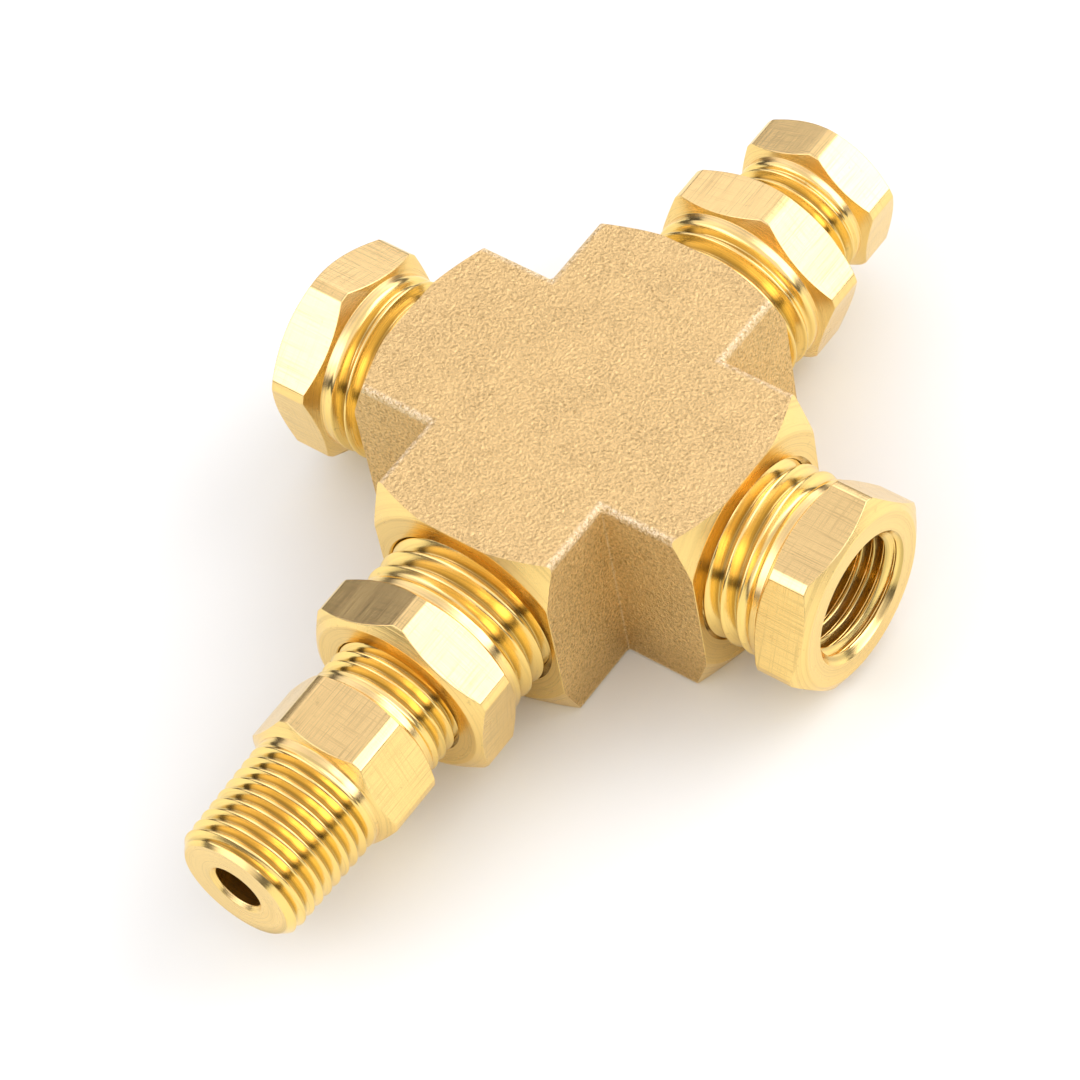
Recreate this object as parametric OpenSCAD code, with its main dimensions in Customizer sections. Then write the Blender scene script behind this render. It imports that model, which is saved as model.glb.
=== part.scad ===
// Brass four-way pipe cross with a screwed fitting in every port.
// The cross lies on its flat bottom face, and the origin is the middle of that face.
// +X is the right arm, +Y the rear arm, -X the left arm and -Y the front arm.

/* [Cross body] */
// How far each arm reaches past the corners of the square notches
arm_stub = 7.2; // [6:0.1:10]
// Wall between a port's mouth and the side of its arm
port_wall = 0.45; // [0.4:0.05:2]
// How much taller the body is than its arms are wide
body_rise = 2; // [1:0.1:4]
// Width of the flat ring that is turned round each port's mouth
mouth_ring = 1.85; // [1:0.05:2.4]
// Slope of the chamfer turned on each arm's end, in degrees
arm_chamfer = 30; // [20:1:45]
// Radius of the drillings that meet in the middle of the body
passage_r = 4; // [2:0.1:4.8]
// Plain depth that a port has beyond the end of its fitting
port_spare = 1.2; // [0.5:0.1:1.6]

/* [Large taper thread] */
// Distance from one thread crest to the next
large_pitch = 1.411; // [1:0.001:1.8]
// Depth of the thread
large_depth = 0.85; // [0.5:0.01:1]
// Length that is screwed into the body
large_engaged = 5.8; // [4.8:0.1:7]
// Length that shows between the body and the front and right hexes
large_open = 4.2; // [2:0.1:7]
// Length that shows between the body and the rear and left hexes
large_open_far = 4.35; // [2:0.1:7]

/* [Small taper thread] */
// Diameter over the thread crests where the thread enters its socket
small_d = 10.24; // [8:0.01:13]
// Distance from one thread crest to the next
small_pitch = 0.941; // [0.7:0.001:1.2]
// Depth of the thread
small_depth = 0.57; // [0.3:0.01:0.7]

/* [Bushings] */
// Length of the hex
bushing_hex_l = 4.35; // [3:0.05:7]
// How far the hex's flats stand outside the large thread, on each side
bushing_flat = 0.35; // [0.2:0.05:2]
// Metal between the small thread's socket and the root of the large thread
bushing_wall = 0.78; // [0.5:0.01:3]
// Depth of the socket for the small thread
socket_depth = 8.6; // [7.3:0.1:10]
// Radius of the bore beyond the socket
bushing_bore_r = 3.6; // [2:0.1:3.7]

/* [Hex nipple] */
// Length of the thread on each end
nipple_thread_l = 9.45; // [8:0.05:11]
// Length of the inner thread that shows outside the bushing
nipple_open = 3.4; // [3.2:0.1:5]
// Length of the hex
nipple_hex_l = 5.6; // [3:0.1:9]
// Radius of the bore
nipple_bore_r = 1.9; // [1:0.1:3]

/* [Small reducer] */
// Length of its thread
reducer_thread_l = 8; // [6:0.1:10]
// Length of that thread that shows outside the bushing
reducer_open = 3.75; // [2:0.05:6]
// Length of the hex
reducer_hex_l = 3.9; // [3:0.1:7]
// Radius of the tapping bore in its outer end
reducer_tap_r = 2.1; // [1.6:0.05:3]
// Depth of that bore
reducer_tap_depth = 6; // [4:0.1:9]
// Radius of the waterway beyond the tapping bore
reducer_bore_r = 1.5; // [0.8:0.1:1.6]

/* [Small hexes] */
// How far the flats of the two small hexes stand outside the small thread
small_flat = 0.43; // [0.2:0.01:2]

/* [How far each hex is turned] */
// Front bushing, in degrees
front_turn = 22.8; // [0:0.1:60]
// Right bushing, in degrees
right_turn = 7.9; // [0:0.1:60]
// Rear bushing, in degrees
rear_turn = 48.3; // [0:0.1:60]
// Left bushing, in degrees
left_turn = 22; // [0:0.1:60]
// Hex nipple, in degrees
nipple_turn = 52.3; // [0:0.1:60]
// Small reducer, in degrees
reducer_turn = 41.2; // [0:0.1:60]

/* [Fits and edges] */
// Radial clearance between thread crests and the plain sockets that stand for female threads
thread_gap = 0.05; // [0.02:0.01:0.1]
// Size of the countersink at the mouth of each port
port_sink = 0.25; // [0.1:0.05:0.6]
// Size of the countersink at the mouth of each small socket
socket_sink = 0.1; // [0.05:0.05:0.4]
// Chamfer turned on the hexes, measured in from their flats
hex_bevel = 0.4; // [0.2:0.05:0.8]
// How much of each hex corner the round bar it is turned from leaves off
hex_corner_cut = 0.22; // [0.05:0.01:0.4]
// Length of the plain collar between a thread and its hex
collar_l = 0.4; // [0.2:0.05:1]

/* [Hidden] */
$fn = 96;

// Taper threads widen by 1 in 16 on diameter, which is 1 in 32 on radius
taper = 1 / 32;
// Slope of the chamfers on the hexes, in degrees
hex_slope = 30;
// Slope at the bottom of a drilled hole, in degrees
drill_slope = 31;
// Share of a thread's pitch that its flat crest takes
crest_share = 0.2;
// How far cutting shapes run past the face that they cut
past = 1;
// Overlap that joins the solids of one piece
lap = 0.5;

socket_r = small_d / 2 + thread_gap;
// Bore of an open socket, at the crests of its female thread
tap_r = small_d / 2 - small_depth - 0.25;
large_d = 2 * (socket_r + bushing_wall + large_depth);
mouth_r = large_d / 2 + port_sink;
arm_w = 2 * (mouth_r + port_wall);
body_t = arm_w + body_rise;
reach = arm_w / 2 + arm_stub;
arm_face_r = mouth_r + mouth_ring;
axis_z = body_t / 2;

bushing_flat_r = large_d / 2 + bushing_flat;
small_flat_r = small_d / 2 + small_flat;
nipple_engaged = nipple_thread_l - nipple_open;
reducer_engaged = reducer_thread_l - reducer_open;
front_out = reach + large_open + bushing_hex_l;
rear_out = reach + large_open_far + bushing_hex_l;

brass = [0.86, 0.69, 0.38];
blasted_brass = [0.82, 0.66, 0.40];

// Places a shape that is drawn along +X, from the middle of the body, on one arm
module on_arm(turn) {
    translate([0, 0, axis_z]) rotate([0, 0, turn]) children();
}

// Turns an outline of [radius, distance] points about the X axis
module turned(outline) {
    rotate([0, 90, 0]) rotate_extrude() polygon(outline);
}

// One crest of a thread: up a flank, along the flat crest, and down again
function ridge(x, pitch, depth, crest_r) =
    let (flank = pitch * (1 - crest_share) / 2)
    [[crest_r - depth, x], [crest_r, x + flank], [crest_r, x + pitch - flank]];

// Male taper thread along +X: its small end is at x = 0, and its collar joins the hex
module male_thread(length, end_r, pitch, depth) {
    turns = floor((length - collar_l) / pitch);
    first = length - collar_l - turns * pitch;
    last = length - collar_l;
    big_r = end_r + length * taper;
    turned(concat(
        [[0, 0], [end_r - depth, 0]],
        [for (i = [0 : turns - 1])
            let (x = first + i * pitch)
            each ridge(x, pitch, depth, end_r + x * taper)],
        [[big_r - depth, last], [big_r - depth / 4, last],
         [big_r - depth / 4, length + lap], [0, length + lap]]));
}

// Hex along +X with a chamfer on both faces and rounded bar corners
module hex_head(length, flat_r, turn) {
    corner_r = flat_r / cos(30) - hex_corner_cut;
    face_r = flat_r - hex_bevel;
    drop = (corner_r - face_r) * tan(hex_slope);
    intersection() {
        rotate([0, 90, 0]) rotate([0, 0, turn + 30])
            cylinder(h = length, r = flat_r / cos(30), $fn = 6);
        turned([[0, 0], [face_r, 0], [corner_r, drop], [corner_r, length - drop],
                [face_r, length], [0, length]]);
    }
}

// Cuts a mouth with a countersink, a socket and a narrower bore, seen from x = 0 inwards
module socket_cut(mouth, sink, near_r, far_r, depth, bore_r, length) {
    slope = (far_r - bore_r) * tan(drill_slope);
    turned([[0, past], [mouth + past, past], [mouth, 0], [near_r, -sink],
            [far_r, -depth], [bore_r, -depth - slope], [bore_r, -length - past],
            [0, -length - past]]);
}

// Straight bar of the cross along X, with both its ends turned
module arm_pair() {
    blank_r = arm_w;
    drop = (blank_r - arm_face_r) * tan(arm_chamfer);
    intersection() {
        translate([-reach, -arm_w / 2, -axis_z]) cube([2 * reach, arm_w, body_t]);
        turned([[0, -reach], [arm_face_r, -reach], [blank_r, drop - reach],
                [blank_r, reach - drop], [arm_face_r, reach], [0, reach]]);
    }
}

// Reducing bushing along +X, with its outer face at x = out
module bushing(out, open, turn, occupied) {
    hex_in = out - bushing_hex_l;
    thread_l = large_engaged + open;
    whole_l = thread_l + bushing_hex_l;
    end_r = large_d / 2 - large_engaged * taper;
    depth = socket_depth;
    difference() {
        union() {
            translate([hex_in - thread_l, 0, 0])
                male_thread(thread_l, end_r, large_pitch, large_depth);
            translate([hex_in, 0, 0]) hex_head(bushing_hex_l, bushing_flat_r, turn);
        }
        if (occupied)
            translate([out, 0, 0])
                socket_cut(socket_r + socket_sink, socket_sink, socket_r,
                           socket_r - depth * taper, depth, bushing_bore_r, whole_l);
        else
            translate([out, 0, 0])
                socket_cut(socket_r, socket_r - tap_r, tap_r, tap_r, depth,
                           bushing_bore_r, whole_l);
    }
}

module cross_body() {
    floor_x = reach - large_engaged - port_spare;
    inner_r = large_d / 2 + thread_gap - (reach - floor_x) * taper;
    color(blasted_brass)
    difference() {
        union() {
            on_arm(0) arm_pair();
            on_arm(90) arm_pair();
        }
        for (turn = [0, 90, 180, 270])
            on_arm(turn) translate([reach, 0, 0])
                socket_cut(mouth_r, port_sink, large_d / 2 + thread_gap, inner_r,
                           reach - floor_x, passage_r, reach);
    }
}

module front_bushing() {
    color(brass) on_arm(-90) bushing(front_out, large_open, front_turn, true);
}

module right_bushing() {
    color(brass) on_arm(0) bushing(front_out, large_open, right_turn, false);
}

module rear_bushing() {
    color(brass) on_arm(90) bushing(rear_out, large_open_far, rear_turn, true);
}

module left_bushing() {
    color(brass) on_arm(180) bushing(rear_out, large_open_far, left_turn, false);
}

module hex_nipple() {
    hex_in = front_out + nipple_open;
    tip = hex_in + nipple_hex_l + nipple_thread_l;
    end_r = small_d / 2 - nipple_engaged * taper;
    tip_sink = 0.3;
    color(brass) on_arm(-90) difference() {
        union() {
            translate([hex_in - nipple_thread_l, 0, 0])
                male_thread(nipple_thread_l, end_r, small_pitch, small_depth);
            translate([hex_in, 0, 0]) hex_head(nipple_hex_l, small_flat_r, nipple_turn);
            translate([tip, 0, 0]) mirror([1, 0, 0])
                male_thread(nipple_thread_l, end_r, small_pitch, small_depth);
        }
        translate([tip, 0, 0])
            socket_cut(nipple_bore_r + tip_sink, tip_sink, nipple_bore_r, nipple_bore_r,
                       nipple_thread_l, nipple_bore_r, tip);
    }
}

module small_reducer() {
    hex_in = rear_out + reducer_open;
    out = hex_in + reducer_hex_l;
    end_r = small_d / 2 - reducer_engaged * taper;
    tap_sink = 0.4;
    color(brass) on_arm(90) difference() {
        union() {
            translate([hex_in - reducer_thread_l, 0, 0])
                male_thread(reducer_thread_l, end_r, small_pitch, small_depth);
            translate([hex_in, 0, 0]) hex_head(reducer_hex_l, small_flat_r, reducer_turn);
        }
        translate([out, 0, 0])
            socket_cut(reducer_tap_r + tap_sink, tap_sink, reducer_tap_r, reducer_tap_r,
                       reducer_tap_depth, reducer_bore_r, reducer_thread_l + reducer_hex_l);
    }
}

cross_body();
front_bushing();
right_bushing();
rear_bushing();
left_bushing();
hex_nipple();
small_reducer();
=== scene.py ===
import bpy
import bmesh
import math
import numpy as np
from mathutils import Matrix, Quaternion, Vector


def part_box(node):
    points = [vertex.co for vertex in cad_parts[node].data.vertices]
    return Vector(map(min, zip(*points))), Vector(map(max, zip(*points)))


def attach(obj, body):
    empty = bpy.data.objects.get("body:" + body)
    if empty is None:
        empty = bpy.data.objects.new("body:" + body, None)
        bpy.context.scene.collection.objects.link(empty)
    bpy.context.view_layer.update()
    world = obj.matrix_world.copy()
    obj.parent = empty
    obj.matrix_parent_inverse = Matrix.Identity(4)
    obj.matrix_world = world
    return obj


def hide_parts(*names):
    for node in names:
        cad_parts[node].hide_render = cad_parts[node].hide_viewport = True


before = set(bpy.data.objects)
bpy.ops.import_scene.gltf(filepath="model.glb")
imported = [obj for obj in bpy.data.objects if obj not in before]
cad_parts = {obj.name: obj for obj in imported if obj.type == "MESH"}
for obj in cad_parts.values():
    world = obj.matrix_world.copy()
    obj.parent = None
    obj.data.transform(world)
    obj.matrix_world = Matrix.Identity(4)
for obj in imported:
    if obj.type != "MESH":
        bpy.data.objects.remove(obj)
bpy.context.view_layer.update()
scene = bpy.context.scene
mm = 0.001


def lowest(node, axis):
    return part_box(node)[0][axis] / mm


def highest(node, axis):
    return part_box(node)[1][axis] / mm


# Distances along the arms are from the middle of the cross, in millimetres.
reach = highest("cross_body", 0)
bodyTall = highest("cross_body", 2)
axisHeight = bodyTall / 2
outerFace = {
    "right": highest("right_bushing", 0), "rear": highest("rear_bushing", 1),
    "left": -lowest("left_bushing", 0), "front": -lowest("front_bushing", 1),
}
nippleTip = -lowest("hex_nipple", 1)
reducerFace = highest("small_reducer", 1)
armTurn = {"right": 0, "rear": 90, "left": 180, "front": -90}
taper = 1 / 32                                   # growth of a taper thread's radius
threadGap = 0.07                                 # between a male thread and its port
columnCount = 144
print("frame read: reach", round(reach, 2), "body height", round(bodyTall, 2))


def addNode(tree, kind, inputs=None, **settings):
    made = tree.nodes.new(kind)
    for key, value in settings.items():
        setattr(made, key, value)
    for place, value in (inputs or {}).items():
        plug(tree, made.inputs[place], value)
    return made


def plug(tree, socket, value):
    if isinstance(value, bpy.types.NodeSocket):
        tree.links.new(value, socket)
    elif value is not None:
        socket.default_value = value


def calc(tree, operation, *values):
    made = addNode(tree, "ShaderNodeMath", dict(enumerate(values)), operation=operation)
    return made.outputs[0]


def remap(tree, value, low, high, toLow=0.0, toHigh=1.0, smooth=True):
    return addNode(tree, "ShaderNodeMapRange",
                   {"Value": value, "From Min": low, "From Max": high,
                    "To Min": toLow, "To Max": toHigh},
                   interpolation_type="SMOOTHSTEP" if smooth else "LINEAR").outputs["Result"]


def combine(tree, x=0.0, y=0.0, z=0.0):
    return addNode(tree, "ShaderNodeCombineXYZ", {0: x, 1: y, 2: z}).outputs[0]


def separate(tree, vector):
    return addNode(tree, "ShaderNodeSeparateXYZ", {0: vector}).outputs


def newGroup(name, kind, inputs, outputs):
    tree = bpy.data.node_groups.new(name, kind)
    for title, socketType, value in inputs:
        socket = tree.interface.new_socket(title, in_out="INPUT", socket_type=socketType)
        if value is not None:
            socket.default_value = value
    for title, socketType in outputs:
        tree.interface.new_socket(title, in_out="OUTPUT", socket_type=socketType)
    given = tree.nodes.new("NodeGroupInput").outputs
    result = tree.nodes.new("NodeGroupOutput").inputs
    return tree, given, result


threadShape = {
    "rowsPerTurn": 24,
    "rootFlat": 0.05, "crestFlat": 0.1,          # shares of half a pitch
    "rootEase": 0.08, "crestEase": 0.1,          # shares of the depth that are rounded off
    "weld": 0.002, "armWeld": 0.003,             # mm, points closer than this become one
}


def makeThreadTree():
    number, whole, yes = "NodeSocketFloat", "NodeSocketInt", "NodeSocketBool"
    tree, given, result = newGroup("cutThread", "GeometryNodeTree", [
        ("Geometry", "NodeSocketGeometry", None), ("Pitch", number, 0.001),
        ("Length", number, 0.01), ("Crest Radius", number, 0.005), ("Depth", number, 0.0005),
        ("Taper", number, 0.0), ("Phase", number, 0.0), ("Start", number, 0.0),
        ("Inward", yes, False), ("Female", yes, False), ("Tip Radius", number, 0.005),
        ("Tip Slope", number, 1.0), ("Run Radius", number, 0.005), ("Run Length", number, 0.001),
        ("Columns", whole, columnCount), ("Rows Per Turn", whole, 16),
        ("Material", "NodeSocketMaterial", None),
    ], [("Geometry", "NodeSocketGeometry")])
    pitch, length, perTurn = given["Pitch"], given["Length"], given["Rows Per Turn"]
    turns = calc(tree, "ADD", calc(tree, "DIVIDE", length, pitch), 2.0)
    steps = calc(tree, "CEIL", calc(tree, "MULTIPLY", turns, perTurn))
    span = calc(tree, "DIVIDE", calc(tree, "MULTIPLY", steps, pitch), perTurn)
    grid = addNode(tree, "GeometryNodeMeshGrid", {
        "Vertices X": calc(tree, "ADD", given["Columns"], 1.0),
        "Vertices Y": calc(tree, "ADD", steps, 1.0)})
    place = separate(tree, addNode(tree, "GeometryNodeInputPosition").outputs[0])
    around = calc(tree, "ADD", place[0], 0.5)
    ahead = calc(tree, "SUBTRACT", calc(tree, "SUBTRACT", around, 1.0), given["Phase"])
    lean = calc(tree, "MULTIPLY", ahead, pitch)      # keeps every row on one line of the thread
    climb = calc(tree, "MULTIPLY_ADD", calc(tree, "ADD", place[1], 0.5), span, lean)
    along = calc(tree, "MINIMUM", calc(tree, "MAXIMUM", climb, 0.0), length)
    turn = calc(tree, "SUBTRACT", calc(tree, "DIVIDE", along, pitch), around)
    share = calc(tree, "FRACT", calc(tree, "ADD", turn, given["Phase"]))
    fromRoot = calc(tree, "ABSOLUTE", calc(tree, "SUBTRACT", share, 0.5))
    off = calc(tree, "MULTIPLY", fromRoot, 2.0)  # 0 in the root, 1 on the crest
    low, high = threadShape["rootFlat"], 1 - threadShape["crestFlat"]
    flank = calc(tree, "DIVIDE", calc(tree, "SUBTRACT", off, low), high - low)
    height = calc(tree, "SMOOTH_MIN", flank, 1.0, threadShape["crestEase"])
    height = calc(tree, "SMOOTH_MAX", height, 0.0, threadShape["rootEase"])
    crest = calc(tree, "MULTIPLY_ADD", along, given["Taper"], given["Crest Radius"])
    sunk = calc(tree, "MULTIPLY", calc(tree, "SUBTRACT", 1.0, height), given["Depth"])
    radius = calc(tree, "SUBTRACT", crest, sunk)
    sign = calc(tree, "SUBTRACT", 1.0, calc(tree, "MULTIPLY", given["Female"], 2.0))
    tip = calc(tree, "MULTIPLY_ADD", along, given["Tip Slope"],
               calc(tree, "MULTIPLY", sign, given["Tip Radius"]))
    radius = calc(tree, "MULTIPLY", sign,
                  calc(tree, "MINIMUM", calc(tree, "MULTIPLY", sign, radius), tip))
    away = remap(tree, along, calc(tree, "SUBTRACT", length, given["Run Length"]), length)
    radius = calc(tree, "MULTIPLY_ADD", calc(tree, "SUBTRACT", given["Run Radius"], radius),
                  away, radius)
    angle = calc(tree, "MULTIPLY", around, math.tau)
    way = calc(tree, "SUBTRACT", 1.0, calc(tree, "MULTIPLY", given["Inward"], 2.0))
    x = calc(tree, "MULTIPLY_ADD", along, way, given["Start"])
    y = calc(tree, "MULTIPLY", calc(tree, "MULTIPLY", radius, way), calc(tree, "COSINE", angle))
    z = calc(tree, "MULTIPLY", radius, calc(tree, "SINE", angle))
    # this groove share also drives the painted shade in the thread roots
    sunkShare = calc(tree, "MULTIPLY", calc(tree, "SUBTRACT", 1.0, height),
                     calc(tree, "SUBTRACT", 1.0, away))      # 1 in a groove's root
    graded = addNode(tree, "GeometryNodeStoreNamedAttribute",
                     {"Geometry": grid.outputs["Mesh"], "Name": "groove", "Value": sunkShare},
                     data_type="FLOAT", domain="POINT")
    tube = addNode(tree, "GeometryNodeSetPosition",
                   {"Geometry": graded.outputs[0], "Position": combine(tree, x, y, z)})
    marked = addNode(tree, "GeometryNodeStoreNamedAttribute",
                     {"Geometry": tube.outputs[0], "Name": "threadFace", "Value": True},
                     data_type="BOOLEAN", domain="FACE")
    joined = addNode(tree, "GeometryNodeJoinGeometry")
    tree.links.new(given["Geometry"], joined.inputs[0])
    tree.links.new(marked.outputs[0], joined.inputs[0])
    welded = addNode(tree, "GeometryNodeMergeByDistance",
                     {"Geometry": joined.outputs[0], "Distance": threadShape["weld"] * mm})
    stored = addNode(tree, "GeometryNodeStoreNamedAttribute",
                     {"Geometry": welded.outputs[0], "Name": "partPos",
                      "Value": addNode(tree, "GeometryNodeInputPosition").outputs[0]},
                     data_type="FLOAT_VECTOR", domain="POINT")
    real = addNode(tree, "GeometryNodeRealizeInstances", {0: stored.outputs[0]})
    onThread = addNode(tree, "GeometryNodeInputNamedAttribute", {"Name": "threadFace"},
                       data_type="BOOLEAN").outputs[0]
    painted = addNode(tree, "GeometryNodeSetMaterial",
                      {"Geometry": real.outputs[0], "Selection": onThread,
                       "Material": given["Material"]})
    tree.links.new(painted.outputs[0], result[0])
    return tree


def makeArmsTree():
    tree, given, result = newGroup("fourArms", "GeometryNodeTree", [
        ("Geometry", "NodeSocketGeometry", None), ("Count", "NodeSocketInt", 4),
        ("Material", "NodeSocketMaterial", None),
    ], [("Geometry", "NodeSocketGeometry")])
    points = addNode(tree, "GeometryNodePoints", {"Count": given["Count"]})
    step = calc(tree, "DIVIDE", math.tau, given["Count"])
    turn = calc(tree, "MULTIPLY", addNode(tree, "GeometryNodeInputIndex").outputs[0], step)
    arms = addNode(tree, "GeometryNodeInstanceOnPoints",
                   {"Points": points.outputs[0], "Instance": given["Geometry"],
                    "Rotation": combine(tree, 0.0, 0.0, turn)})
    real = addNode(tree, "GeometryNodeRealizeInstances", {0: arms.outputs[0]})
    welded = addNode(tree, "GeometryNodeMergeByDistance",
                     {"Geometry": real.outputs[0], "Distance": threadShape["armWeld"] * mm})
    rough = addNode(tree, "GeometryNodeInputNamedAttribute", {"Name": "castFace"},
                    data_type="BOOLEAN").outputs[0]
    painted = addNode(tree, "GeometryNodeSetMaterial",
                      {"Geometry": welded.outputs[0], "Selection": rough,
                       "Material": given["Material"]})
    tree.links.new(painted.outputs[0], result[0])
    return tree


def setInputs(modifier, tree, values):
    for item in tree.interface.items_tree:
        if item.item_type == "SOCKET" and item.in_out == "INPUT" and item.name in values:
            modifier[item.identifier] = values[item.name]


def cutThread(piece, material, **values):
    lengths = ("Pitch", "Length", "Crest Radius", "Depth", "Start", "Tip Radius",
               "Run Radius", "Run Length")
    settings = {"Columns": columnCount, "Rows Per Turn": threadShape["rowsPerTurn"],
                "Material": material}
    for key, value in values.items():
        title = "".join(" " + c if c.isupper() else c for c in key).title()
        settings[title] = float(value) * mm if title in lengths else value
    modifier = piece.modifiers.new("thread", "NODES")
    modifier.node_group = threadTree
    setInputs(modifier, threadTree, settings)


threadTree = makeThreadTree()
armsTree = makeArmsTree()
print("thread and arm trees ready")


turning = {
    "edgeEase": 0.05,                            # mm, the round on most turned edges
    "roundSteps": 4, "longestRound": 0.3,        # facets of a round, its share of a short side
    "guardRow": 1.5,                             # rounds away, a row that keeps the side flat
    "barEase": 0.015,                            # mm, the round on a hex bar's long edges
    "cornerColumns": (-0.4, -0.15, 0.0, 0.15, 0.4),      # degrees from a hex corner
    "faceColumns": 6, "faceStart": 1.2,          # across half a hex face, from these degrees on
    "sliver": 0.0005, "sharpAngle": 40,          # mm and degrees
}
ease = turning["edgeEase"]
evenAngles = np.arange(columnCount) * math.tau / columnCount


def mirrored(offsets, span):
    whole = list(offsets) + [span - o for o in reversed(offsets[:-1])]
    return np.array(whole[:-1])


def hexColumns(flatR, cornerR):
    edge = 30 - math.degrees(math.acos(flatR / cornerR))     # where the face meets its corner
    near = [0, 0.5 * edge] + [edge + step for step in turning["cornerColumns"]]
    wide = list(np.linspace(edge + turning["faceStart"], 30, turning["faceColumns"]))
    side = mirrored(near + wide, 60)             # 24 columns to a side, 144 in all
    angles = np.radians(np.concatenate([side + 60 * k for k in range(6)]))
    fromFlat = np.abs((np.degrees(angles) % 60) - 30)
    soft = turning["barEase"]
    flat = flatR / np.cos(np.radians(fromFlat))
    radius = -soft * np.log(np.exp(-(flat - flatR) / soft) + np.exp(-(cornerR - flatR) / soft))
    return angles, radius + flatR


def profileRows(corners):
    steps, guard = turning["roundSteps"], turning["guardRow"]
    points = [np.stack([np.broadcast_to(x, columnCount), np.broadcast_to(r, columnCount)])
              for x, r, size, zone, angles in corners]
    rows, zones = [], []
    for i, (x, r, size, zone, angles) in enumerate(corners):
        here = points[i]
        if size == 0 or i in (0, len(corners) - 1):
            rows.append((here, angles))
            zones.append(zone)
            continue
        back, ahead = points[i - 1] - here, points[i + 1] - here
        backLong = np.maximum(np.hypot(*back), 1e-6)
        aheadLong = np.maximum(np.hypot(*ahead), 1e-6)
        cut = np.minimum(size, turning["longestRound"] * np.minimum(backLong, aheadLong))
        first, last = here + back / backLong * cut, here + ahead / aheadLong * cut
        rows.append((here + back / backLong * cut * guard, angles))
        zones.append(corners[i - 1][3])
        for k in range(steps + 1):
            s = k / steps
            bend = first * (1 - s) ** 2 + here * 2 * s * (1 - s) + last * s ** 2
            rows.append((bend, angles))
            zones.append(zone)
        rows.append((here + ahead / aheadLong * cut * guard, angles))
        zones.append(zone)
    return rows, zones


def shellMesh(name, chains, materials, castZone=None):
    verts, faces, slots, cast = [], [], [], []
    names = list(materials)
    for rows, zones in chains:
        start = len(verts)
        for (x, r), angles in rows:
            verts += list(zip(x * mm, r * np.cos(angles) * mm, r * np.sin(angles) * mm))
        for i in range(len(rows) - 1):
            for j in range(columnCount):
                a, b = start + i * columnCount, start + (i + 1) * columnCount
                k = (j + 1) % columnCount
                faces.append((a + j, a + k, b + k, b + j))
                slots.append(names.index(zones[i]))
                cast.append(zones[i] == castZone)
    mesh = bpy.data.meshes.new(name)
    mesh.from_pydata(verts, [], faces)
    for material in materials.values():
        mesh.materials.append(material)
    mesh.polygons.foreach_set("material_index", slots)
    mesh.attributes.new("threadFace", "BOOLEAN", "FACE")
    castData = mesh.attributes.new("castFace", "BOOLEAN", "FACE")
    castData.data.foreach_set("value", cast)
    piece = bpy.data.objects.new(name, mesh)
    scene.collection.objects.link(piece)
    return piece


def settle(piece, turn, arm):                    # turned about its own axis, then to its arm
    graph = bpy.context.evaluated_depsgraph_get()
    mesh = bpy.data.meshes.new_from_object(piece.evaluated_get(graph), depsgraph=graph)
    piece.modifiers.clear()
    piece.data = mesh
    mesh.transform(Matrix.Translation((0, 0, axisHeight * mm))
                   @ Matrix.Rotation(math.radians(arm), 4, "Z")
                   @ Matrix.Rotation(math.radians(turn), 4, "X"))
    shape = bmesh.new()
    shape.from_mesh(mesh)
    bmesh.ops.dissolve_degenerate(shape, dist=turning["sliver"] * mm, edges=shape.edges)
    bmesh.ops.recalc_face_normals(shape, faces=shape.faces)
    for face in shape.faces:
        face.smooth = True
    loose = sum(not edge.is_manifold for edge in shape.edges)
    shape.to_mesh(mesh)
    shape.free()
    mesh.set_sharp_from_angle(angle=math.radians(turning["sharpAngle"]))
    mesh.name = piece.name
    print(piece.name, len(mesh.polygons), "faces, open edges:", loose)
    return piece


grainLook = {
    "skew": (0.5, 0.9, 0.35),                    # radians, so that no row lines up with an axis
    "detail": 4.0, "rough": 0.65, "distortion": 0.3,
    "coarse": 0.06, "pebbles": 0.6,              # their scales as shares of the fine grain's
    "pebbleShare": 0.7, "speckEdge": 0.12,
    "patchLow": 0.35, "patchHigh": 0.65,
}


def makeGrain():
    tree, given, result = newGroup("grain", "ShaderNodeTree", [
        ("Vector", "NodeSocketVector", None), ("Scale", "NodeSocketFloat", 3000.0),
        ("Sparse", "NodeSocketFloat", 0.58),
    ], [("Height", "NodeSocketFloat"), ("Specks", "NodeSocketFloat"),
        ("Patches", "NodeSocketFloat"), ("Relief", "NodeSocketFloat")])
    skew = addNode(tree, "ShaderNodeVectorRotate",
                   {"Vector": given["Vector"], "Rotation": grainLook["skew"]},
                   rotation_type="EULER_XYZ").outputs[0]
    fine = addNode(tree, "ShaderNodeTexNoise",
                   {"Vector": skew, "Scale": given["Scale"], "Detail": grainLook["detail"],
                    "Roughness": grainLook["rough"],
                    "Distortion": grainLook["distortion"]}).outputs[0]
    coarseScale = calc(tree, "MULTIPLY", given["Scale"], grainLook["coarse"])
    coarse = addNode(tree, "ShaderNodeTexNoise",
                     {"Vector": skew, "Scale": coarseScale, "Detail": 3.0}).outputs[0]
    pebbleScale = calc(tree, "MULTIPLY", given["Scale"], grainLook["pebbles"])
    pebbles = addNode(tree, "ShaderNodeTexNoise",
                      {"Vector": skew, "Scale": pebbleScale, "Detail": 1.0}).outputs[0]
    tree.links.new(calc(tree, "MULTIPLY_ADD", pebbles, grainLook["pebbleShare"], fine),
                   result["Relief"])
    tree.links.new(fine, result["Height"])
    full = calc(tree, "ADD", given["Sparse"], grainLook["speckEdge"])
    tree.links.new(remap(tree, fine, given["Sparse"], full), result["Specks"])
    tree.links.new(remap(tree, coarse, grainLook["patchLow"], grainLook["patchHigh"]),
                   result["Patches"])
    return tree


lineLook = {"detail": 2.0, "rough": 0.6, "broad": 0.09, "bandLow": 0.35, "bandHigh": 0.65}


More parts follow.
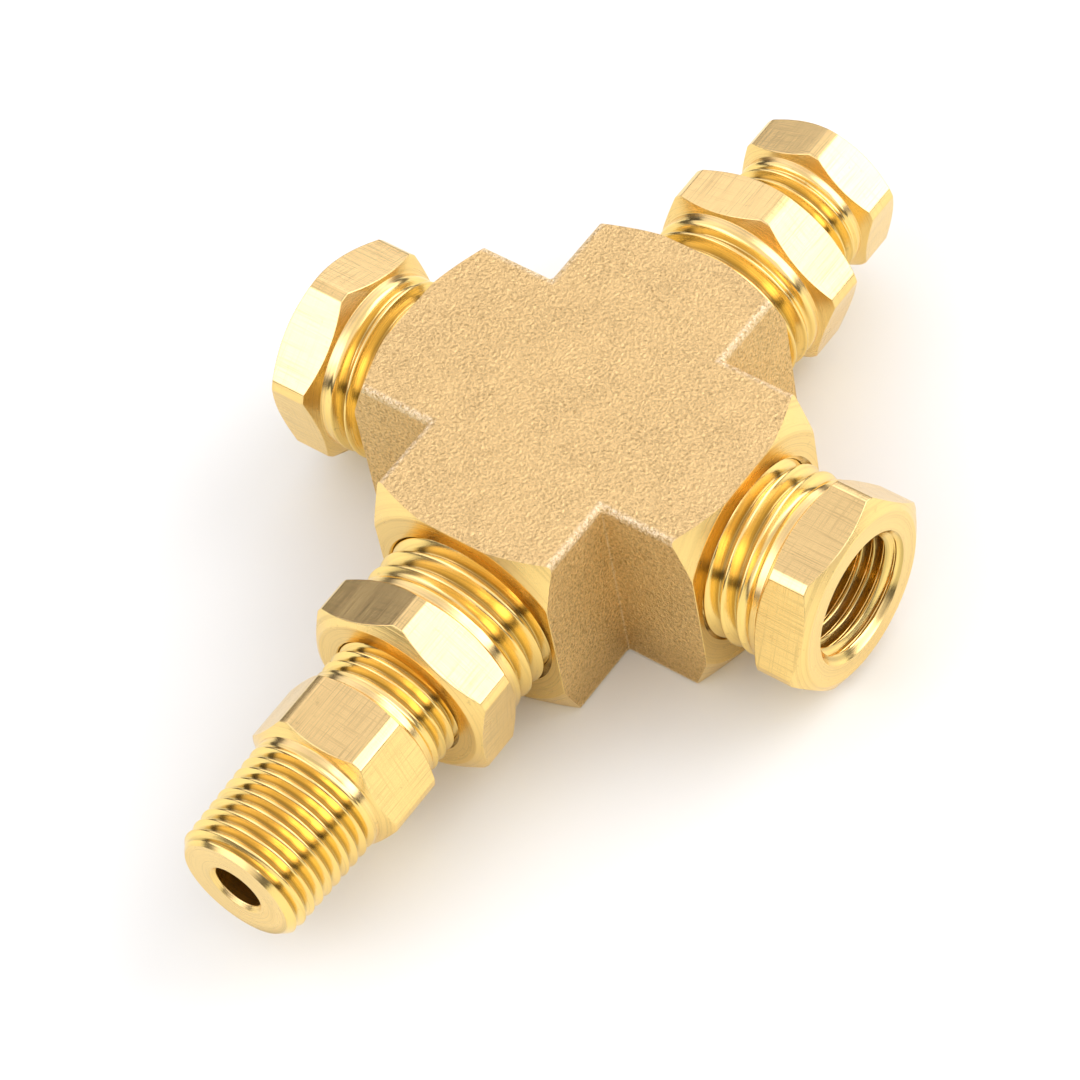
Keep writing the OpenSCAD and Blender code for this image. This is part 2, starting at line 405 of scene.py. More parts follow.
def makeLines():
    tree, given, result = newGroup("toolLines", "ShaderNodeTree", [
        ("Across", "NodeSocketFloat", 0.0), ("Drift", "NodeSocketVector", None),
        ("Spacing", "NodeSocketFloat", 0.00005),
    ], [("Height", "NodeSocketFloat"), ("Bands", "NodeSocketFloat")])
    step = combine(tree, calc(tree, "DIVIDE", given["Across"], given["Spacing"]))
    where = addNode(tree, "ShaderNodeVectorMath", {0: step, 1: given["Drift"]},
                    operation="ADD").outputs[0]
    fine = addNode(tree, "ShaderNodeTexNoise",
                   {"Vector": where, "Scale": 1.0, "Detail": lineLook["detail"],
                    "Roughness": lineLook["rough"]}).outputs[0]
    broad = addNode(tree, "ShaderNodeTexNoise",
                    {"Vector": where, "Scale": lineLook["broad"],
                     "Detail": lineLook["detail"]}).outputs[0]
    tree.links.new(fine, result["Height"])
    tree.links.new(remap(tree, broad, lineLook["bandLow"], lineLook["bandHigh"]),
                   result["Bands"])
    return tree


grainGroup = makeGrain()
linesGroup = makeLines()


def newMaterial(name):
    material = bpy.data.materials.new(name)
    material.use_nodes = True
    tree = material.node_tree
    tree.nodes.clear()
    shader = addNode(tree, "ShaderNodeBsdfPrincipled")
    shader.inputs["Metallic"].default_value = 1.0
    addNode(tree, "ShaderNodeOutputMaterial", {"Surface": shader.outputs[0]})
    return material, tree, shader


def blend(tree, share, first, second):
    made = addNode(tree, "ShaderNodeMix", {"Factor": share}, data_type="RGBA")
    for place, colour in ((6, first), (7, second)):          # the node's two colour sockets
        linked = isinstance(colour, bpy.types.NodeSocket)
        plug(tree, made.inputs[place], colour if linked else (*colour, 1))
    return made.outputs[2]


def shade(colour, factor):
    return tuple(c * factor for c in colour)


def bump(tree, height, depth, under=None):
    made = addNode(tree, "ShaderNodeBump", {"Height": height, "Distance": depth})
    if under is not None:
        tree.links.new(under, made.inputs["Normal"])
    return made.outputs[0]


def readPoint(tree, name, output="Fac"):         # a value stored on the mesh's points
    return addNode(tree, "ShaderNodeAttribute", attribute_name=name).outputs[output]


def addGrain(tree, place, scale, sparse):
    grain = addNode(tree, "ShaderNodeGroup", {}, node_tree=grainGroup)
    tree.links.new(place, grain.inputs["Vector"])
    grain.inputs["Scale"].default_value = scale
    grain.inputs["Sparse"].default_value = sparse
    return grain.outputs


def addLines(tree, across, drift, spacing):
    lines = addNode(tree, "ShaderNodeGroup", {}, node_tree=linesGroup)
    tree.links.new(across, lines.inputs["Across"])
    tree.links.new(drift, lines.inputs["Drift"])
    lines.inputs["Spacing"].default_value = spacing
    return lines.outputs


castSkin = {
    # the edge colour is worn metal, partly a painted highlight
    "colour": (0.93, 0.645, 0.235), "dark": (0.48, 0.29, 0.08), "edge": (0.95, 0.75, 0.39),
    "rough": 0.4, "smoothest": -0.08, "roughest": 0.1, "edgeRough": 0.28,
    "grainScale": 5200, "sparse": 0.56,
    "mottleLow": 0.34, "mottleHigh": 0.62, "paler": 1.08, "darker": 0.66,
    "specks": 0.7, "patches": 0.3,               # shares of the dark specks and the clean patches
    "pitLow": 0.9, "pitHigh": 1.0, "pits": 0.5,  # only on the side walls
    "soot": 0.45, "bottomShadeTall": 0.0065,            # painted shade: its share at the bottom, and m up to where the metal is unshaded
    "sheenFrom": 0.66, "sheenFull": 0.4,           # grain height where an edge starts to shine, a worn edge with a painted highlight
    "bump": 0.00014, "sideBump": 0.00016,        # m, the second is added on the side walls
}


def makeCast():
    look = castSkin
    material, tree, shader = newMaterial("blastedBrass")
    place = addNode(tree, "ShaderNodeTexCoord").outputs["Object"]
    grain = addGrain(tree, place, look["grainScale"], look["sparse"])
    mottle = remap(tree, grain["Height"], look["mottleLow"], look["mottleHigh"], smooth=False)
    colour = blend(tree, mottle, shade(look["colour"], look["paler"]),
                   shade(look["colour"], look["darker"]))
    colour = blend(tree, calc(tree, "MULTIPLY", grain["Specks"], look["specks"]),
                   colour, look["dark"])
    colour = blend(tree, calc(tree, "MULTIPLY", grain["Patches"], look["patches"]),
                   colour, look["colour"])
    side = readPoint(tree, "sideWall")
    pits = remap(tree, grain["Relief"], look["pitLow"], look["pitHigh"], 0.0, look["pits"])
    colour = blend(tree, calc(tree, "MULTIPLY", side, pits), colour, look["dark"])
    # painted shade: the cast skin is darker towards the floor
    bottomShaded = remap(tree, separate(tree, place)[2], 0.0, look["bottomShadeTall"], look["soot"], 0.0)
    colour = blend(tree, bottomShaded, colour, look["dark"])
    shine = remap(tree, grain["Height"], look["sheenFrom"], look["sheenFull"])
    # worn edges, partly a painted highlight: paler and smoother
    worn = calc(tree, "MULTIPLY", readPoint(tree, "edgeWearSheen"), shine)
    tree.links.new(blend(tree, worn, colour, look["edge"]), shader.inputs["Base Color"])
    rough = remap(tree, grain["Height"], 0.3, 0.7, look["rough"] + look["smoothest"],
                  look["rough"] + look["roughest"], smooth=False)
    rough = calc(tree, "MULTIPLY_ADD", worn, look["edgeRough"] - look["rough"], rough)
    tree.links.new(rough, shader.inputs["Roughness"])
    depth = calc(tree, "MULTIPLY_ADD", side, look["sideBump"], look["bump"])
    tree.links.new(bump(tree, grain["Relief"], depth), shader.inputs["Normal"])
    return material


finishes = {                                     # spacing and depth of the tool marks are in m
    "turnedBrass": {"colour": (0.93, 0.665, 0.235), "rough": 0.23,
                    "spacing": 0.00013, "depth": 0.000008},
    "threadBrass": {"colour": (0.96, 0.69, 0.22), "rough": 0.16,
                    "spacing": 0.00013, "depth": 0.000008},
    "drawnBrass": {"colour": (0.94, 0.665, 0.235), "rough": 0.2,
                   "spacing": 0.00008, "depth": 0.000008, "drawn": True},
    "boredBrass": {"colour": (0.88, 0.61, 0.17), "rough": 0.22,
                   "spacing": 0.00016, "depth": 0.00001},
}
toolMarks = {
    "low": 0.46, "crossLow": 0.5, "high": 0.7,   # heights where a mark starts and is full
    "turned": 0.3, "drawn": 0.5, "cross": 0.36, "dark": 0.5,         # shares, and their shade
    "barRadius": 0.006, "barDrift": 200.0,       # m, and how fast drawn marks wander along
    "crossSpacing": 1.3, "crossDepth": 1.2,      # times those of the marks along the bar
    "coneStretch": 1.37, "turnedDrift": 0.3,
    "stainScale": 1900, "stainSparse": 0.62, "stain": 0.45,
    "grooveLow": 0.5, "groove": 0.6, "rootShadeTone": 0.4,      # painted shade in the thread roots: where it starts, its share, and its tone
    "bandRough": 0.06, "patchRough": 0.05,
}


def makeTurned(name, colour, rough, spacing, depth, drawn=False):
    marks = toolMarks
    material, tree, shader = newMaterial(name)
    place = readPoint(tree, "partPos", "Vector")
    x, y, z = separate(tree, place)
    roundPart = combine(tree, 0.0, y, z)
    if drawn:                                    # drawn along the bar, with fainter marks across
        arc = calc(tree, "MULTIPLY", calc(tree, "ARCTAN2", z, y), marks["barRadius"])
        alongDrift = combine(tree, 0.0, calc(tree, "MULTIPLY", x, marks["barDrift"]))
        crossDrift = combine(tree, 0.0, calc(tree, "MULTIPLY", arc, marks["barDrift"]))
        lines = addLines(tree, arc, alongDrift, spacing)
        cross = addLines(tree, x, crossDrift, spacing * marks["crossSpacing"])
        worn = remap(tree, lines["Height"], marks["low"], marks["high"], 0.0, marks["drawn"])
        scored = remap(tree, cross["Height"], marks["crossLow"], marks["high"],
                       0.0, marks["cross"])
        worn = calc(tree, "MAXIMUM", worn, scored)
    else:                                        # turned round it
        radius = addNode(tree, "ShaderNodeVectorMath", {0: roundPart},
                         operation="LENGTH").outputs["Value"]
        way = addNode(tree, "ShaderNodeVectorMath", {0: roundPart},
                      operation="NORMALIZE").outputs[0]
        drift = addNode(tree, "ShaderNodeVectorMath", {0: way, "Scale": marks["turnedDrift"]},
                        operation="SCALE").outputs[0]
        across = calc(tree, "MULTIPLY_ADD", radius, marks["coneStretch"], x)
        lines = addLines(tree, across, drift, spacing)
        worn = remap(tree, lines["Height"], marks["low"], marks["high"], 0.0, marks["turned"])
    stain = addGrain(tree, place, marks["stainScale"], marks["stainSparse"])
    marked = shade(colour, marks["dark"])
    tint = blend(tree, worn, colour, marked)
    tint = blend(tree, calc(tree, "MULTIPLY", stain["Specks"], marks["stain"]), tint, marked)
    # painted shade: thread roots are darker
    rootShade = remap(tree, readPoint(tree, "groove"), marks["grooveLow"], 1.0, 0.0, marks["groove"])
    tint = blend(tree, rootShade, tint, shade(colour, marks["rootShadeTone"]))
    tree.links.new(tint, shader.inputs["Base Color"])
    uneven = calc(tree, "MULTIPLY_ADD", lines["Bands"], marks["bandRough"],
                  rough - marks["bandRough"] / 2)
    uneven = calc(tree, "MULTIPLY_ADD", stain["Patches"], marks["patchRough"], uneven)
    tree.links.new(uneven, shader.inputs["Roughness"])
    normal = bump(tree, lines["Height"], depth)
    if drawn:
        normal = bump(tree, cross["Height"], depth * marks["crossDepth"], under=normal)
    tree.links.new(normal, shader.inputs["Normal"])
    return material


castBrass = makeCast()
turnedSet = {name: makeTurned(name, **finish) for name, finish in finishes.items()}
threadBrass = turnedSet["threadBrass"]
zoneMaterials = {"turned": turnedSet["turnedBrass"], "flat": turnedSet["drawnBrass"],
                 "bore": turnedSet["boredBrass"]}
print("materials ready")


crossBody = {
    "armHalf": 7.5, "mouthR": 7.05, "faceR": 8.9, "chamferSlope": 30,
    "edgeRound": 0.4, "edgeEase": 0.06,          # long edges, and the turned ends' edges
    "mouthRing": 0.12,                           # narrow flat around the mouth of the port
    "notchRound": 0.3, "notchFade": 2,           # the round fades out this near the centre line
    "wallRows": (0.01, 0.08, 0.25, 0.5, 0.75, 0.9, 1.0),     # shares of an arm's length
    "notchBends": (6, 15, 25, 35, 45),           # degrees round the inner corner
    "cornerTurn": 2.4, "cornerNear": 4,          # degrees from a long edge
    "portDepth": 7.0, "passageR": 4.0, "drillSlope": 31,
    "threadPitch": 1.411, "threadDepth": 0.85, "crestR": 6.8, "threadRun": 0.7,
    "wearSheenShare": 0.25, "innerSheen": 0.1,         # worn edge with a painted highlight: share of the edge's round; painted highlight at inner corners, in mm
}


def barRadius(angles, half, tall, rounding):
    c, s = np.abs(np.cos(angles)), np.abs(np.sin(angles))
    side, top = half / np.maximum(c, 1e-9), tall / np.maximum(s, 1e-9)
    inY, inZ = half - rounding, tall - rounding
    dot = inY * c + inZ * s
    bow = dot + np.sqrt(np.maximum(rounding ** 2 - inY ** 2 - inZ ** 2 + dot ** 2, 0))
    onSide = side * s <= inZ
    onTop = top * c <= inY
    return np.where(onSide, side, np.where(onTop, top, bow))


def bodyColumns(part):                           # 36 to a quarter, 144 in all
    corner = math.degrees(math.atan2(axisHeight, part["armHalf"]))
    side = math.degrees(math.acos(part["armHalf"] / part["faceR"]))
    top = math.degrees(math.asin(axisHeight / part["faceR"]))
    near, turn = part["cornerNear"], part["cornerTurn"]
    quarter = list(np.concatenate([
        np.linspace(0, side, 7)[:-1], np.linspace(side, corner - near, 8),
        corner + np.linspace(-turn, turn, 9),
        np.linspace(corner + near, top, 8)[:-1], np.linspace(top, 90, 7)]))
    half = quarter + [180 - q for q in reversed(quarter[:-1])]
    whole = half[:-1] + [h + 180 for h in half[:-1]]
    return np.radians(np.array(whole))


def storeOnPoints(piece, name, values):
    piece.data.attributes.new(name, "FLOAT", "POINT").data.foreach_set("value", values)


def markWearAndSheen(piece, part):                       # worn edges with a painted highlight, a painted highlight along the inner corners, and the walls
    far = np.abs(np.array([v.co for v in piece.data.vertices])) / mm
    intoY = far[:, 1] - (part["armHalf"] - part["edgeRound"])
    intoZ = far[:, 2] - (axisHeight - part["edgeRound"])
    wearSheen = np.minimum(intoY, intoZ) / (part["wearSheenShare"] * part["edgeRound"]) + 1
    inCorner = np.clip(1 - np.abs(far[:, 0] - far[:, 1]) / part["innerSheen"], 0, 1)
    onWall = far[:, 1] > part["armHalf"] - ease
    storeOnPoints(piece, "edgeWearSheen", np.maximum(np.clip(wearSheen, 0, 1), inCorner * onWall))
    side = (axisHeight - far[:, 2]) / part["edgeRound"]
    storeOnPoints(piece, "sideWall", np.clip(side, 0, 1))


def makeCrossBody():
    part = crossBody
    angles = bodyColumns(part)
    blank = barRadius(angles, part["armHalf"], axisHeight, part["edgeRound"])
    edge = np.minimum(part["faceR"], blank - part["edgeEase"])
    slope = math.tan(math.radians(part["chamferSlope"]))
    rows, zones = profileRows([
        (reach, part["mouthR"], 0, "turned", evenAngles),
        (reach, part["mouthR"] + part["mouthRing"], 0, "turned", evenAngles),
        (reach, edge, ease, "turned", angles),
        (reach - (blank - edge) * slope, blank, ease, "cast", angles),
    ])
    wallX, wallR = rows[-1][0]
    wallY, wallZ = wallR * np.cos(angles), wallR * np.sin(angles)
    offset = np.abs(wallY)
    notch = part["notchRound"] * np.minimum(1, offset / part["notchFade"])
    for share in part["wallRows"]:
        rows.append((np.stack([wallX + (offset + notch - wallX) * share, wallR]), angles))
        zones.append("cast")
    for bend in np.radians(part["notchBends"]):  # round the inner corner of the notch
        y = np.sign(wallY) * (offset + notch * (1 - np.cos(bend)))
        x = offset + notch * (1 - np.sin(bend))
        rows.append((np.stack([x, np.hypot(y, wallZ)]), np.arctan2(wallZ, y)))
        zones.append("cast")
    floorX = reach - part["portDepth"]
    majorR = part["crestR"] + threadGap
    drillR = majorR - part["portDepth"] * taper - part["threadDepth"]
    drop = (drillR - part["passageR"]) * math.tan(math.radians(part["drillSlope"]))
    passageEnd = part["passageR"] * np.abs(np.cos(evenAngles))
    inner = profileRows([
        (floorX, drillR, 0, "bore", evenAngles),
        (floorX - drop, part["passageR"], ease, "bore", evenAngles),
        ((floorX - drop + passageEnd) / 2, part["passageR"], 0, "bore", evenAngles),
        (passageEnd, part["passageR"], 0, "bore", evenAngles),
    ])
    piece = shellMesh("crossBodyVisual", [(rows, zones), inner],
                      {"cast": castBrass, **zoneMaterials}, "cast")
    markWearAndSheen(piece, part)
    cutThread(piece, threadBrass, pitch=part["threadPitch"], length=part["portDepth"],
              crestRadius=majorR, depth=part["threadDepth"], taper=-taper, start=reach,
              inward=True, female=True, tipRadius=part["mouthR"], tipSlope=1.0,
              runRadius=drillR, runLength=part["threadRun"])
    modifier = piece.modifiers.new("arms", "NODES")
    modifier.node_group = armsTree
    setInputs(modifier, armsTree, {"Count": 4, "Material": castBrass})
    return settle(piece, 0, 0)


bushing = {
    "hexLong": 4.35, "flatR": 7.15, "cornerR": 8.036, "faceR": 6.75,
    "pitch": 1.411, "depth": 0.85, "crestR": 6.8, "engaged": 5.8,
    "collar": 0.4, "collarCut": 0.1, "runLong": 1.1, "tipLip": 0.1, "tipSlope": 1.0,
    "socketPitch": 0.941, "socketLong": 8.6,     # two sockets are open, two hold a male thread
    "socketR": {"right": 4.9, "rear": 5.12, "left": 4.9, "front": 5.12},
    "socketDepth": {"right": 0.6, "rear": 0.57, "left": 0.6, "front": 0.57},
    "socketRun": 0.6, "mouthR": 5.17, "mouthEase": 0.1,
    "boreR": 3.6, "boreSink": 0.25, "drillSlope": 31,
    "turns": {"right": 7.9, "rear": 48.3, "left": 22.0, "front": 22.8},      # degrees
}
hexEnd = {
    "slope": 30,                                 # degrees, the cone that takes the corners off
    "ring": 0.1,                                 # narrow flat beside a collar or a socket
    "faceEase": 0.06, "narrowest": 0.3,          # no flat end face where less than this is left
}
slopeOut = math.tan(math.radians(hexEnd["slope"]))


def hexCorners(part, innerX, outerX, innerR, outerR):
    angles, radius = hexColumns(part["flatR"], part["cornerR"])
    drop = (radius - part["faceR"]) * slopeOut

    def meeting(r):                              # where a collar of that radius meets the hex
        return max(r - part["faceR"], 0) * slopeOut

    innerRing, outerRing = innerR + hexEnd["ring"], outerR + hexEnd["ring"]
    corners = [
        (innerX + meeting(innerR), innerR, ease, "turned", evenAngles),
        (innerX + meeting(innerRing), innerRing, 0, "turned", evenAngles),
        (innerX + drop, radius, ease, "flat", angles),
        (outerX - drop, radius, ease, "turned", angles),
    ]
    if outerR < part["faceR"] - hexEnd["narrowest"]:
        corners.append((outerX, part["faceR"], hexEnd["faceEase"], "turned", angles))
    corners.append((outerX - meeting(outerRing), outerRing, 0, "turned", evenAngles))
    corners.append((outerX - meeting(outerR), outerR, ease, "turned", evenAngles))
    return corners


def matingPhase(mouth, tip, pitch, turn):        # fits a male thread to its port at rest
    return (0.5 - (mouth - tip) / pitch - turn / 360) % 1


def makeBushing(arm):
    part = bushing
    out = outerFace[arm]
    hexX, tip = out - part["hexLong"], reach - part["engaged"]
    turn = part["turns"][arm]
    threadLong = hexX - tip - part["collar"]
    smallR = part["crestR"] - part["engaged"] * taper
    collarR = part["crestR"] + (hexX - reach) * taper - part["collarCut"]
    tipR = smallR - part["depth"] - part["tipLip"]
    majorR = part["socketR"][arm] + threadGap
    sinkR = max(majorR + part["mouthEase"], part["mouthR"])
    socketDepth = part["socketDepth"][arm]
    drillR = majorR - part["socketLong"] * taper - socketDepth
    outer = profileRows([
        (hexX - part["collar"], collarR, 0, "turned", evenAngles),
        *hexCorners(part, hexX, out, collarR, sinkR),
    ])
    socketEnd = out - part["socketLong"]
    drop = (drillR - part["boreR"]) * math.tan(math.radians(part["drillSlope"]))
    inner = profileRows([
        (socketEnd, drillR, 0, "bore", evenAngles),
        (socketEnd - drop, part["boreR"], ease, "bore", evenAngles),
        (tip + part["boreSink"], part["boreR"], ease, "turned", evenAngles),
        (tip, part["boreR"] + part["boreSink"], ease, "turned", evenAngles),
        (tip, tipR, 0, "turned", evenAngles),
    ])
    piece = shellMesh(arm + "BushingVisual", [outer, inner], zoneMaterials)
    phase = matingPhase(reach, tip, part["pitch"], turn)
    cutThread(piece, threadBrass, pitch=part["pitch"], length=threadLong, crestRadius=smallR,
              depth=part["depth"], taper=taper, phase=phase, start=tip, tipRadius=tipR,
              tipSlope=part["tipSlope"], runRadius=collarR,
              runLength=part["runLong"])
    cutThread(piece, threadBrass, pitch=part["socketPitch"], length=part["socketLong"],
              crestRadius=majorR, depth=socketDepth, taper=-taper, start=out,
              inward=True, female=True, tipRadius=sinkR, tipSlope=part["tipSlope"],
              runRadius=drillR, runLength=part["socketRun"])
    return settle(piece, turn, armTurn[arm])


nipple = {
    "hexLong": 5.6, "flatR": 5.55, "cornerR": 6.189, "faceR": 5.15,
    "pitch": 0.941, "depth": 0.57, "crestR": 5.12, "engaged": 6.05, "threadLong": 9.45,
    "collar": 0.45, "collarCut": 0.06, "runLong": 0.75, "boreR": 1.9, "boreSink": 0.3,
    "tipR": 4.31, "tipSlope": 1.0, "outerPhase": 0.3,
    "turn": 52.3,                                # degrees
}


def makeNipple():
    part = nipple
    outerHex = nippleTip - part["threadLong"]
    hexX = outerHex - part["hexLong"]
    tip = hexX - part["threadLong"]
    turn, mouth = part["turn"] - bushing["turns"]["front"], outerFace["front"]
    smallR = part["crestR"] - part["engaged"] * taper
    threadLong = part["threadLong"] - part["collar"]
    collarR = smallR + threadLong * taper - part["collarCut"]
    outer = profileRows([
        (hexX - part["collar"], collarR, 0, "turned", evenAngles),
        *hexCorners(part, hexX, outerHex, collarR, collarR),
        (outerHex + part["collar"], collarR, 0, "turned", evenAngles),
    ])
    sinkR = part["boreR"] + part["boreSink"]
    inner = profileRows([
        (tip, part["tipR"], 0, "turned", evenAngles),
        (tip, sinkR, ease, "turned", evenAngles),
        (tip + part["boreSink"], part["boreR"], ease, "bore", evenAngles),
        (nippleTip - part["boreSink"], part["boreR"], ease, "turned", evenAngles),
        (nippleTip, sinkR, ease, "turned", evenAngles),
        (nippleTip, part["tipR"], 0, "turned", evenAngles),
    ])
    piece = shellMesh("hexNippleVisual", [outer, inner], zoneMaterials)
    phase = matingPhase(mouth, tip, part["pitch"], turn)
    shared = dict(pitch=part["pitch"], length=threadLong, crestRadius=smallR, depth=part["depth"],
                  taper=taper, tipRadius=part["tipR"], tipSlope=part["tipSlope"],
                  runRadius=collarR, runLength=part["runLong"])
    cutThread(piece, threadBrass, phase=phase, start=tip, **shared)
    cutThread(piece, threadBrass, phase=part["outerPhase"], start=nippleTip, inward=True,
              **shared)
    return settle(piece, part["turn"], armTurn["front"])


reducer = {
    "hexLong": 3.9, "flatR": 5.55, "cornerR": 6.189, "faceR": 5.15,
    "pitch": 0.941, "depth": 0.57, "crestR": 5.12, "engaged": 4.25, "threadLong": 8.0,
    "collar": 0.4, "collarCut": 0.06, "runLong": 0.75, "tipR": 4.31, "tipSlope": 1.0,
    "tapPitch": 0.8, "tapDepth": 0.42, "tapMajor": 2.5, "tapLong": 6.0, "tapSink": 2.7,
    "tapRun": 0.6, "boreR": 1.5, "boreSink": 0.2, "drillSlope": 31,
    "turn": 41.2,                                # degrees
}


def makeReducer():
    part = reducer
    out = reducerFace
    hexX = out - part["hexLong"]
    tip = hexX - part["threadLong"]
    turn, mouth = part["turn"] - bushing["turns"]["rear"], outerFace["rear"]
    smallR = part["crestR"] - part["engaged"] * taper
    threadLong = part["threadLong"] - part["collar"]
    collarR = smallR + threadLong * taper - part["collarCut"]
    outer = profileRows([
        (hexX - part["collar"], collarR, 0, "turned", evenAngles),
        *hexCorners(part, hexX, out, collarR, part["tapSink"]),
    ])
    drillR = part["tapMajor"] - part["tapDepth"]
    drop = (drillR - part["boreR"]) * math.tan(math.radians(part["drillSlope"]))
    inner = profileRows([
        (out - part["tapLong"], drillR, 0, "bore", evenAngles),
        (out - part["tapLong"] - drop, part["boreR"], ease, "bore", evenAngles),
        (tip + part["boreSink"], part["boreR"], ease, "turned", evenAngles),
        (tip, part["boreR"] + part["boreSink"], ease, "turned", evenAngles),
        (tip, part["tipR"], 0, "turned", evenAngles),
    ])
    piece = shellMesh("smallReducerVisual", [outer, inner], zoneMaterials)
    phase = matingPhase(mouth, tip, part["pitch"], turn)
    cutThread(piece, threadBrass, pitch=part["pitch"], length=threadLong, crestRadius=smallR,
              depth=part["depth"], taper=taper, phase=phase, start=tip, tipRadius=part["tipR"],
              tipSlope=part["tipSlope"], runRadius=collarR,
              runLength=part["runLong"])
    cutThread(piece, threadBrass, pitch=part["tapPitch"], length=part["tapLong"],
              crestRadius=part["tapMajor"], depth=part["tapDepth"], taper=0.0, start=out,
              inward=True, female=True, tipRadius=part["tapSink"], tipSlope=part["tipSlope"],
              runRadius=drillR, runLength=part["tapRun"])
    return settle(piece, part["turn"], armTurn["rear"])


pieces = {"cross_body": makeCrossBody()}
for arm in armTurn:
    pieces[arm + "_bushing"] = makeBushing(arm)
pieces["hex_nipple"] = makeNipple()
pieces["small_reducer"] = makeReducer()
bodyOf = {"cross_body": "cross", "hex_nipple": "nipple_body", "small_reducer": "reducer_body"}
for node, piece in pieces.items():
    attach(piece, bodyOf.get(node, node + "_body"))
    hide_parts(node)
print("pieces in place")


studio = {
    "floorWide": 0.7, "floorDrop": 0.00002,      # m, the drop keeps it clear of the bottom face
    "floorColour": (0.88, 0.892, 0.678), "floorRough": 0.5, "floorPale": 0.985,
    "cloudScale": 9.0,
    "skyColour": (1.0, 0.98, 1.28, 1), "dome": 1.06, "horizon": 0.1, "darkest": 0.09,
    "domeLow": 8.0, "domeHigh": 17.0,            # degrees up, where the tent's wall brightens
    "panels": [                                  # azimuth, half width, low, high, soft, strength
        (42, 38, 14, 36, 6, 2.4),                # large soft box on the right
        (56, 26, 36, 57, 6, 2.4),                # its upper part, a little further back
        (238, 36, 14, 58, 5, 0.6),               # fainter one on the left
        (238, 18, 27, 52, 5, 1.2),               # and its middle
        (168, 33, -5, 17, 4, -0.9),              # dark gap low behind, to the left
        (145, 45, 27, 47, 6, 0.18),              # faint glow on the back wall
        (110, 20, 13, 30, 4, 0.8),               # low strip behind, to the right
        (135, 45, 61, 63, 1.5, -0.5),            # seam of the tent
        (0, 200, 66, 100, 5, -0.15),             # the roof is a little darker all round
    ],
}


def makeFloor():
    half = studio["floorWide"] / 2
    mesh = bpy.data.meshes.new("floor")
    mesh.from_pydata([(-half, -half, 0), (half, -half, 0), (half, half, 0), (-half, half, 0)],
                     [], [(0, 1, 2, 3)])
    floor = bpy.data.objects.new("floor", mesh)
    scene.collection.objects.link(floor)
    floor.location.z = -studio["floorDrop"]
    material, tree, shader = newMaterial("paleFloor")
    shader.inputs["Metallic"].default_value = 0.0
    shader.inputs["Roughness"].default_value = studio["floorRough"]
    place = addNode(tree, "ShaderNodeTexCoord").outputs["Object"]
    cloud = addNode(tree, "ShaderNodeTexNoise",
                    {"Vector": place, "Scale": studio["cloudScale"]}).outputs[0]
    colour = studio["floorColour"]
    cloudy = blend(tree, cloud, colour, shade(colour, studio["floorPale"]))
    tree.links.new(cloudy, shader.inputs["Base Color"])
    mesh.materials.append(material)


def makePanel():
    tree, given, result = newGroup("softPanel", "ShaderNodeTree", [
        ("Azimuth", "NodeSocketFloat", 0.0), ("Elevation", "NodeSocketFloat", 0.0),
        ("Centre", "NodeSocketFloat", 0.0), ("Half Width", "NodeSocketFloat", 40.0),
        ("Low", "NodeSocketFloat", 10.0), ("High", "NodeSocketFloat", 60.0),
        ("Soft", "NodeSocketFloat", 5.0),
    ], [("Mask", "NodeSocketFloat")])
    away = calc(tree, "SUBTRACT", given["Azimuth"], given["Centre"])
    away = calc(tree, "ABSOLUTE", calc(tree, "WRAP", away, 180.0, -180.0))
    soft = given["Soft"]
    side = remap(tree, away, calc(tree, "SUBTRACT", given["Half Width"], soft),
                 calc(tree, "ADD", given["Half Width"], soft), 1.0, 0.0)
    under = remap(tree, given["Elevation"], calc(tree, "SUBTRACT", given["Low"], soft),
                  calc(tree, "ADD", given["Low"], soft))
    over = remap(tree, given["Elevation"], calc(tree, "SUBTRACT", given["High"], soft),
                 calc(tree, "ADD", given["High"], soft), 1.0, 0.0)
    mask = calc(tree, "MULTIPLY", calc(tree, "MULTIPLY", side, under), over)
    tree.links.new(mask, result[0])
    return tree


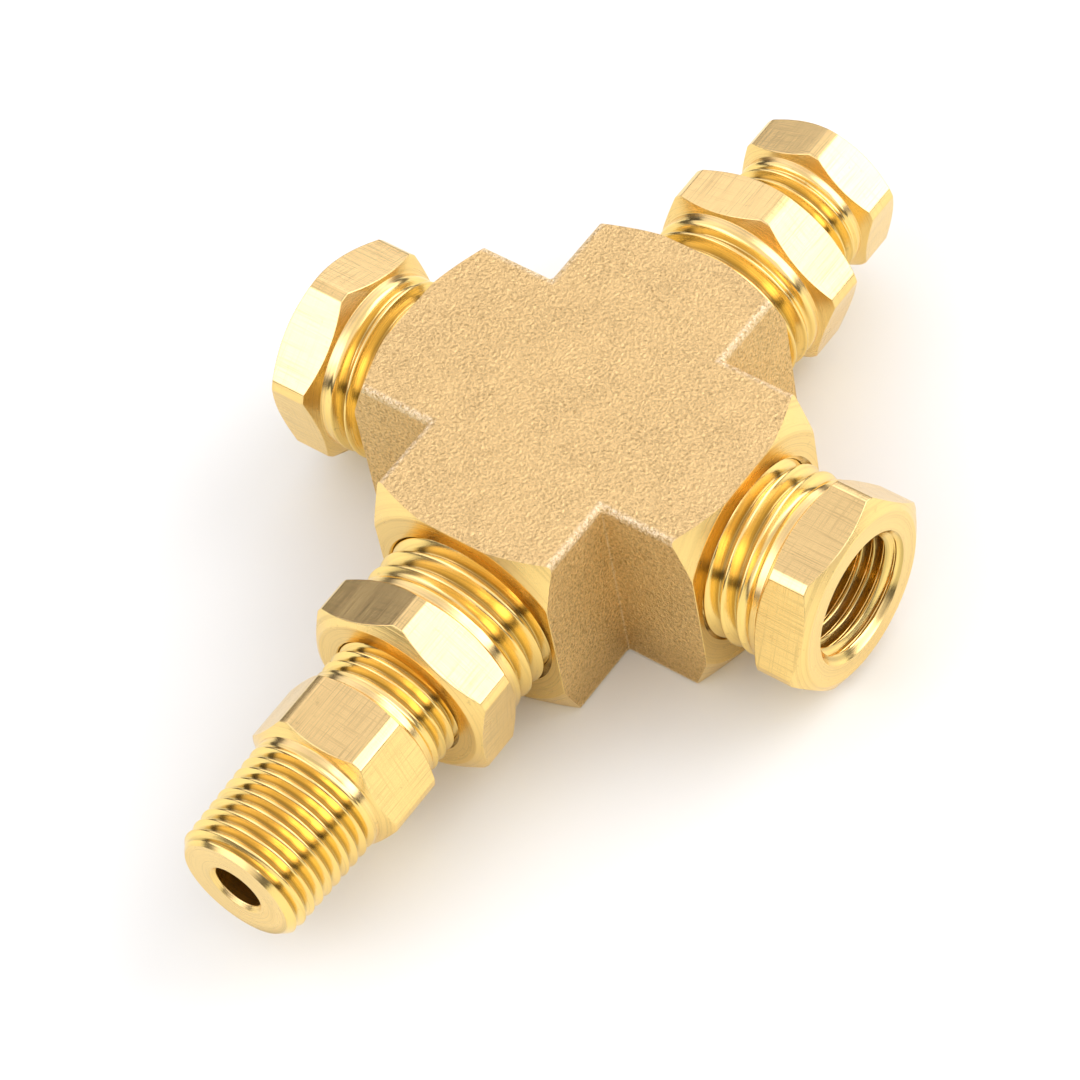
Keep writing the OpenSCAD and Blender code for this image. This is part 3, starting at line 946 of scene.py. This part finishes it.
def makeWorld():
    world = bpy.data.worlds.new("studio")
    scene.world = world
    world.use_nodes = True
    tree = world.node_tree
    tree.nodes.clear()
    panel = makePanel()
    way = addNode(tree, "ShaderNodeTexCoord").outputs["Generated"]
    x, y, z = separate(tree, way)
    azimuth = calc(tree, "DEGREES", calc(tree, "ARCTAN2", y, x))
    elevation = calc(tree, "DEGREES", calc(tree, "ARCSINE", z))
    level = remap(tree, elevation, studio["domeLow"], studio["domeHigh"],
                  studio["horizon"], studio["dome"])
    for centre, half, low, high, soft, strength in studio["panels"]:
        mask = addNode(tree, "ShaderNodeGroup", {}, node_tree=panel)
        for key, value in (("Azimuth", azimuth), ("Elevation", elevation), ("Centre", centre),
                           ("Half Width", half), ("Low", low), ("High", high), ("Soft", soft)):
            plug(tree, mask.inputs[key], value)
        level = calc(tree, "MULTIPLY_ADD", mask.outputs[0], strength, level)
    level = calc(tree, "MAXIMUM", level, studio["darkest"])
    sky = addNode(tree, "ShaderNodeBackground",
                  {"Color": studio["skyColour"], "Strength": level})
    addNode(tree, "ShaderNodeOutputWorld", {"Surface": sky.outputs[0]})


shot = {
    "place": (146.35, -149.12, 275.95),          # mm
    "aim": (0.79, -7.29, 8.5),                   # mm, the point that it looks at
    "roll": -12.43,                              # degrees
    "lens": 158.7, "sensor": 36,                 # mm
    "clipStart": 0.01, "clipEnd": 20,            # m
}


def makeCamera():
    data = bpy.data.cameras.new("shotCamera")
    camera = bpy.data.objects.new("shotCamera", data)
    scene.collection.objects.link(camera)
    camera.location = Vector(shot["place"]) * mm
    look = (Vector(shot["aim"]) - Vector(shot["place"])) * mm
    camera.rotation_mode = "QUATERNION"
    camera.rotation_quaternion = (look.to_track_quat("-Z", "Y")
                                  @ Quaternion((0, 0, 1), math.radians(shot["roll"])))
    data.lens = shot["lens"]
    data.sensor_width = shot["sensor"]
    data.clip_start = shot["clipStart"]
    data.clip_end = shot["clipEnd"]
    scene.camera = camera


makeFloor()
makeWorld()
makeCamera()
scene.view_settings.view_transform = "Standard"
scene.view_settings.look = "None"
print("stage ready")
